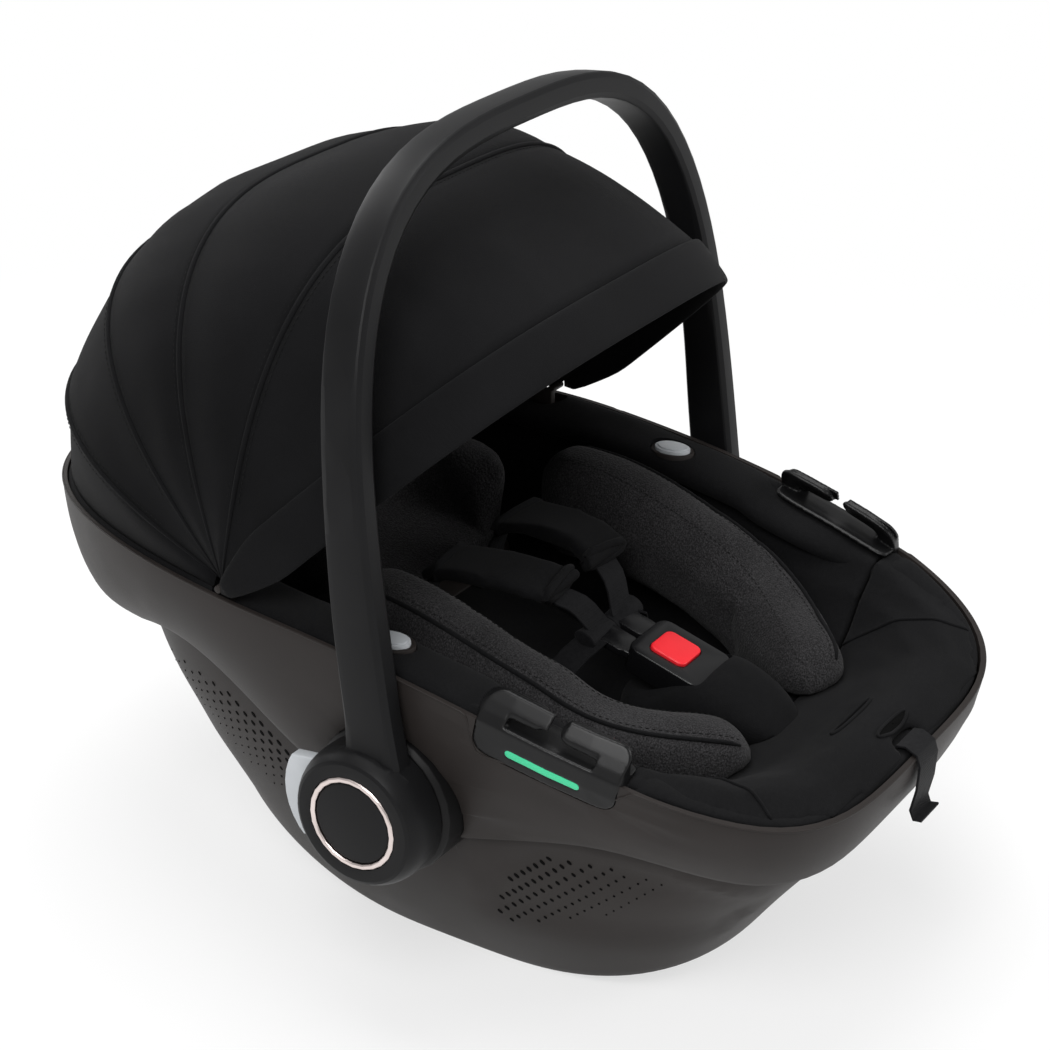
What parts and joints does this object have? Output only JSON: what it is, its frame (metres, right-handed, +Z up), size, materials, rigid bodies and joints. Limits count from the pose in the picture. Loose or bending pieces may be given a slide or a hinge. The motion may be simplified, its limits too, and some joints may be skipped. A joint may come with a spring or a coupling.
{
  "type": "infant car seat",
  "caption": "Rocker-based infant carrier with a swinging arch handle, folding hooped canopy, padded newborn insert and harness with a push-button buckle.",
  "frame": {"origin": "on the ground under the handle's hub axis, in the middle of the rocker base's flat", "axes": "+Z up, +Y towards the head end, +X to the right seen from the foot end, along the handle's hub axis"},
  "size_m": [0.4456, 0.6324, 0.5247],
  "materials": {
    "shell_plastic": "fine-grained warm dark grey moulded plastic",
    "handle_plastic": "satin near-black plastic",
    "guide_plastic": "satin black plastic",
    "buckle_plastic": "semi-gloss black plastic",
    "steel": "plain steel bar",
    "foam": "dark expanded foam",
    "black_fabric": "smooth black stretch fabric",
    "melange_fabric": "charcoal melange knit",
    "bow_plastic": "black bow in a fabric sleeve",
    "webbing": "black woven webbing",
    "light_plastic": "light grey plastic",
    "ring_metal": "pale rose-silver brushed ring",
    "green_plastic": "green belt path marker",
    "red_plastic": "red push button"
  },
  "bodies": {
    "seat": {"outer_shell": "shell_plastic", "rocker_base": "shell_plastic", "locking_bar_foot": "steel", "locking_bar_head": "steel", "foam_liner": "foam", "seat_cover": "black_fabric", "foot_cover": "black_fabric", "handle_mount_left": "shell_plastic", "handle_mount_right": "shell_plastic", "frame_button_bezel_left": "shell_plastic", "frame_button_bezel_right": "shell_plastic", "belt_guide_left": "guide_plastic", "belt_guide_right": "guide_plastic", "belt_guide_strip_left": "green_plastic", "belt_guide_strip_right": "green_plastic", "canopy_mount_left": "shell_plastic", "canopy_mount_right": "shell_plastic", "canopy_gore_1": "black_fabric", "canopy_bow_1": "bow_plastic", "canopy_gore_2": "black_fabric", "insert_bolster_left": "melange_fabric", "insert_bolster_right": "melange_fabric", "insert_pad": "black_fabric", "shoulder_strap_left": "webbing", "shoulder_strap_right": "webbing", "shoulder_pad_left": "black_fabric", "shoulder_pad_right": "black_fabric", "lap_strap_left": "webbing", "lap_strap_right": "webbing", "crotch_pad": "black_fabric", "crotch_strap": "webbing", "buckle_body": "buckle_plastic", "buckle_tongue_left": "buckle_plastic", "buckle_tongue_right": "buckle_plastic", "pull_strap": "webbing"},
    "handle": {"handle": "handle_plastic", "hub_ring_left": "ring_metal", "hub_ring_right": "ring_metal", "hub_cap_left": "handle_plastic", "hub_cap_right": "handle_plastic"},
    "handle_release_left": {"handle_release_button_left": "light_plastic"},
    "handle_release_right": {"handle_release_button_right": "light_plastic"},
    "frame_release_left": {"frame_release_button_left": "light_plastic"},
    "frame_release_right": {"frame_release_button_right": "light_plastic"},
    "buckle_release": {"buckle_button": "red_plastic"},
    "harness_adjuster": {"harness_adjuster_button": "buckle_plastic"},
    "headrest": {"headrest_board": "shell_plastic", "headrest_pad": "melange_fabric"},
    "canopy_2": {"canopy_bow_2": "bow_plastic", "canopy_gore_3": "black_fabric"},
    "canopy_3": {"canopy_bow_3": "bow_plastic", "canopy_gore_4": "black_fabric"},
    "canopy_4": {"canopy_bow_4": "bow_plastic", "canopy_gore_5": "black_fabric"},
    "canopy_front": {"canopy_front_band": "black_fabric"}
  },
  "joints": [
    {"name": "handle_swing", "type": "hinge", "parent": "seat", "child": "handle", "pos_m": [0, 0, 0.147], "axis": [1, 0, 0], "range_deg": [0, 110]},
    {"name": "handle_release_left_press", "type": "slide", "parent": "handle", "child": "handle_release_left", "axis": [1, 0, 0], "range_m": [0, 0.0026], "stiffness_N_per_m": 600, "springref_m": -0.001},
    {"name": "handle_release_right_press", "type": "slide", "parent": "handle", "child": "handle_release_right", "axis": [-1, 0, 0], "range_m": [0, 0.0026], "stiffness_N_per_m": 600, "springref_m": -0.001},
    {"name": "frame_release_left_press", "type": "slide", "parent": "seat", "child": "frame_release_left", "axis": [0, 0, -1], "range_m": [0, 0.003], "stiffness_N_per_m": 600, "springref_m": -0.001},
    {"name": "frame_release_right_press", "type": "slide", "parent": "seat", "child": "frame_release_right", "axis": [0, 0, -1], "range_m": [0, 0.003], "stiffness_N_per_m": 600, "springref_m": -0.001},
    {"name": "buckle_release_press", "type": "slide", "parent": "seat", "child": "buckle_release", "axis": [0, 0.2756, -0.9613], "range_m": [0, 0.003], "stiffness_N_per_m": 600, "springref_m": -0.001},
    {"name": "harness_adjuster_press", "type": "slide", "parent": "seat", "child": "harness_adjuster", "axis": [0, 0, -1], "range_m": [0, 0.003], "stiffness_N_per_m": 600, "springref_m": -0.001},
    {"name": "headrest_slide", "type": "slide", "parent": "seat", "child": "headrest", "axis": [0, 0.9524, 0.3048], "range_m": [0, 0.04]},
    {"name": "canopy_fold_2", "type": "hinge", "parent": "seat", "child": "canopy_2", "pos_m": [0, 0.117, 0.25404], "axis": [-1, 0, 0], "range_deg": [0, 17]},
    {"name": "canopy_fold_3", "type": "hinge", "parent": "canopy_2", "child": "canopy_3", "pos_m": [0, 0.117, 0.25404], "axis": [-1, 0, 0], "range_deg": [0, 17.1]},
    {"name": "canopy_fold_4", "type": "hinge", "parent": "canopy_3", "child": "canopy_4", "pos_m": [0, 0.117, 0.25404], "axis": [-1, 0, 0], "range_deg": [0, 18.1]},
    {"name": "canopy_fold_front", "type": "hinge", "parent": "canopy_4", "child": "canopy_front", "pos_m": [0, 0.117, 0.25404], "axis": [-1, 0, 0], "range_deg": [0, 23.1]}
  ],
  "couplings": [
    {"joint": "canopy_fold_3", "follows": "canopy_fold_2", "ratio": 1},
    {"joint": "canopy_fold_4", "follows": "canopy_fold_2", "ratio": 1.06},
    {"joint": "canopy_fold_front", "follows": "canopy_fold_2", "ratio": 1.35}
  ]
}
